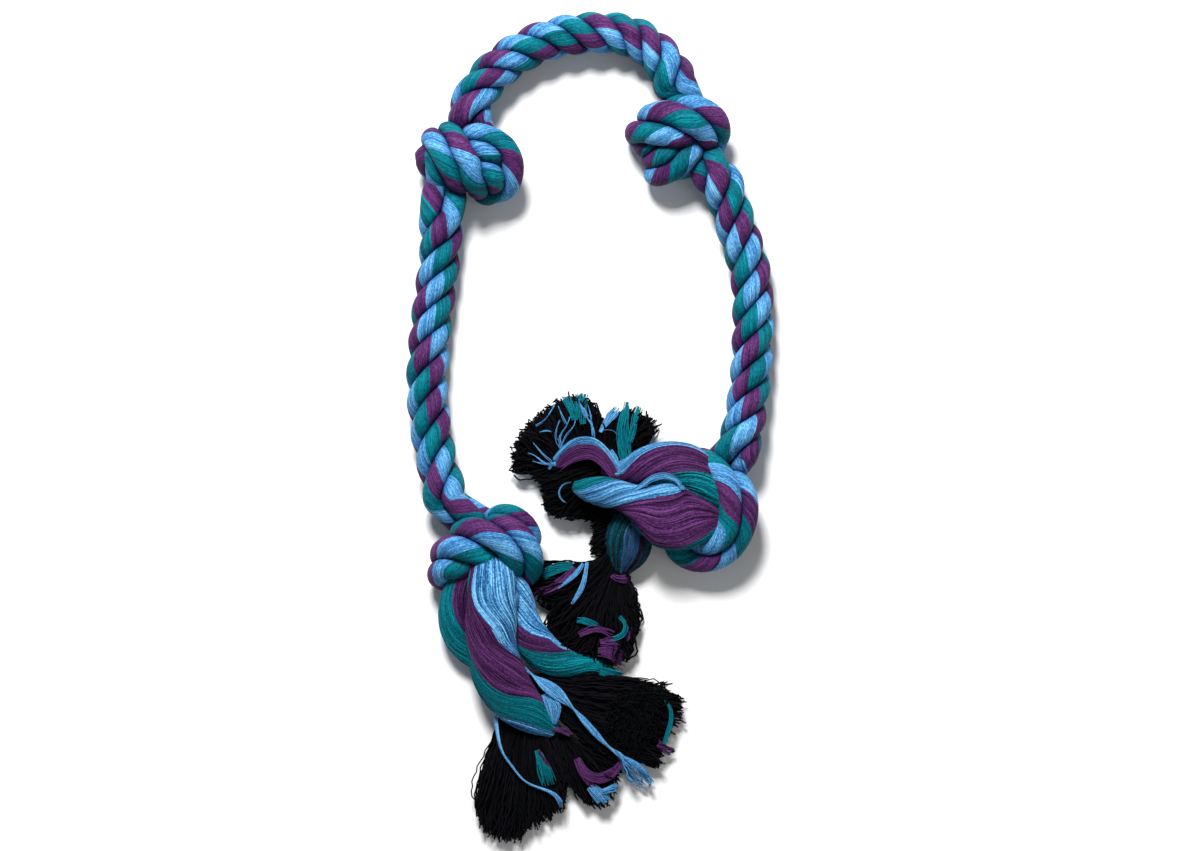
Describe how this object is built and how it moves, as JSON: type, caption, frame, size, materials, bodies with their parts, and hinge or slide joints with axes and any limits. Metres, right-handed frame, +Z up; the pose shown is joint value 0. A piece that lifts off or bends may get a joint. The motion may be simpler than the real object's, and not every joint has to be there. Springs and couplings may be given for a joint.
{
  "type": "rope dog toy",
  "caption": "Thick three-strand rope tug toy tied in overhand knots, its loose ends unlaid into strands and yarn tassels, lying flat in an open loop.",
  "frame": {"origin": "centre of the footprint, on the floor it lies on", "axes": "+Z up from the floor, +Y along the loop towards the top of the arch, +X across the loop towards the right leg"},
  "size_m": [0.249, 0.5628, 0.0456],
  "materials": {
    "cover_yarn": "soft spun polyester yarn in teal, light blue and purple sectors, one third of each strand each",
    "core_yarn": "crimped black core yarn, matt"
  },
  "bodies": {
    "root": {"arch_left_strand_1": "cover_yarn", "arch_left_strand_2": "cover_yarn", "arch_left_strand_3": "cover_yarn", "left_middle_knot_strand_1": "cover_yarn", "left_middle_knot_strand_2": "cover_yarn", "left_middle_knot_strand_3": "cover_yarn", "left_leg_upper_strand_1": "cover_yarn", "left_leg_upper_strand_2": "cover_yarn", "left_leg_upper_strand_3": "cover_yarn"},
    "right_side": {"arch_right_strand_1": "cover_yarn", "arch_right_strand_2": "cover_yarn", "arch_right_strand_3": "cover_yarn", "right_middle_knot_strand_1": "cover_yarn", "right_middle_knot_strand_2": "cover_yarn", "right_middle_knot_strand_3": "cover_yarn", "right_leg_upper_strand_1": "cover_yarn", "right_leg_upper_strand_2": "cover_yarn", "right_leg_upper_strand_3": "cover_yarn"},
    "left_lower_leg": {"left_leg_lower_strand_1": "cover_yarn", "left_leg_lower_strand_2": "cover_yarn", "left_leg_lower_strand_3": "cover_yarn"},
    "right_lower_leg": {"right_leg_lower_strand_1": "cover_yarn", "right_leg_lower_strand_2": "cover_yarn", "right_leg_lower_strand_3": "cover_yarn"},
    "left_end_knot": {"left_end_knot_strand_1": "cover_yarn", "left_end_knot_strand_2": "cover_yarn", "left_end_knot_strand_3": "cover_yarn"},
    "right_end_knot": {"right_end_knot_strand_1": "cover_yarn", "right_end_knot_strand_2": "cover_yarn", "right_end_knot_strand_3": "cover_yarn"},
    "left_tail": {"left_tail_strand_1": "cover_yarn", "left_tail_strand_2": "cover_yarn", "left_tail_strand_3": "cover_yarn", "left_tail_tassel_lower": "core_yarn", "left_tail_tassel_middle": "core_yarn", "left_tail_tassel_right": "core_yarn"},
    "right_tail": {"right_tail_strand_1": "cover_yarn", "right_tail_strand_2": "cover_yarn", "right_tail_strand_3": "cover_yarn", "right_tail_tassel_left": "core_yarn", "right_tail_tassel_right": "core_yarn", "right_tail_tassel_lower": "core_yarn"}
  },
  "joints": [
    {"name": "arch_bend", "type": "hinge", "parent": "root", "child": "right_side", "pos_m": [-0.01731, 0.26649, 0.01421], "axis": [0, 0, 1], "range_deg": [0, 25]},
    {"name": "left_leg_bend", "type": "hinge", "parent": "root", "child": "left_lower_leg", "pos_m": [-0.11059, 0.04725, 0.01421], "axis": [0, 0, -1], "range_deg": [0, 30]},
    {"name": "right_leg_bend", "type": "hinge", "parent": "right_side", "child": "right_lower_leg", "pos_m": [0.11111, 0.08089, 0.01421], "axis": [0, 0, 1], "range_deg": [0, 30]},
    {"name": "left_end_lift", "type": "hinge", "parent": "left_lower_leg", "child": "left_end_knot", "pos_m": [-0.10269, -0.03196, 0.01703], "axis": [-0.9669, -0.2553, 0], "range_deg": [0, 25]},
    {"name": "right_end_lift", "type": "hinge", "parent": "right_lower_leg", "child": "right_end_knot", "pos_m": [0.10521, 0.0027, 0.01819], "axis": [-0.981, 0.1939, 0], "range_deg": [0, 25]},
    {"name": "left_tail_lift", "type": "hinge", "parent": "left_end_knot", "child": "left_tail", "pos_m": [-0.06774, -0.11472, 0.02172], "axis": [-0.9968, -0.0797, 0], "range_deg": [0, 30]},
    {"name": "right_tail_lift", "type": "hinge", "parent": "right_end_knot", "child": "right_tail", "pos_m": [0.05109, -0.05599, 0.02377], "axis": [0, 1, 0], "range_deg": [0, 30]}
  ]
}
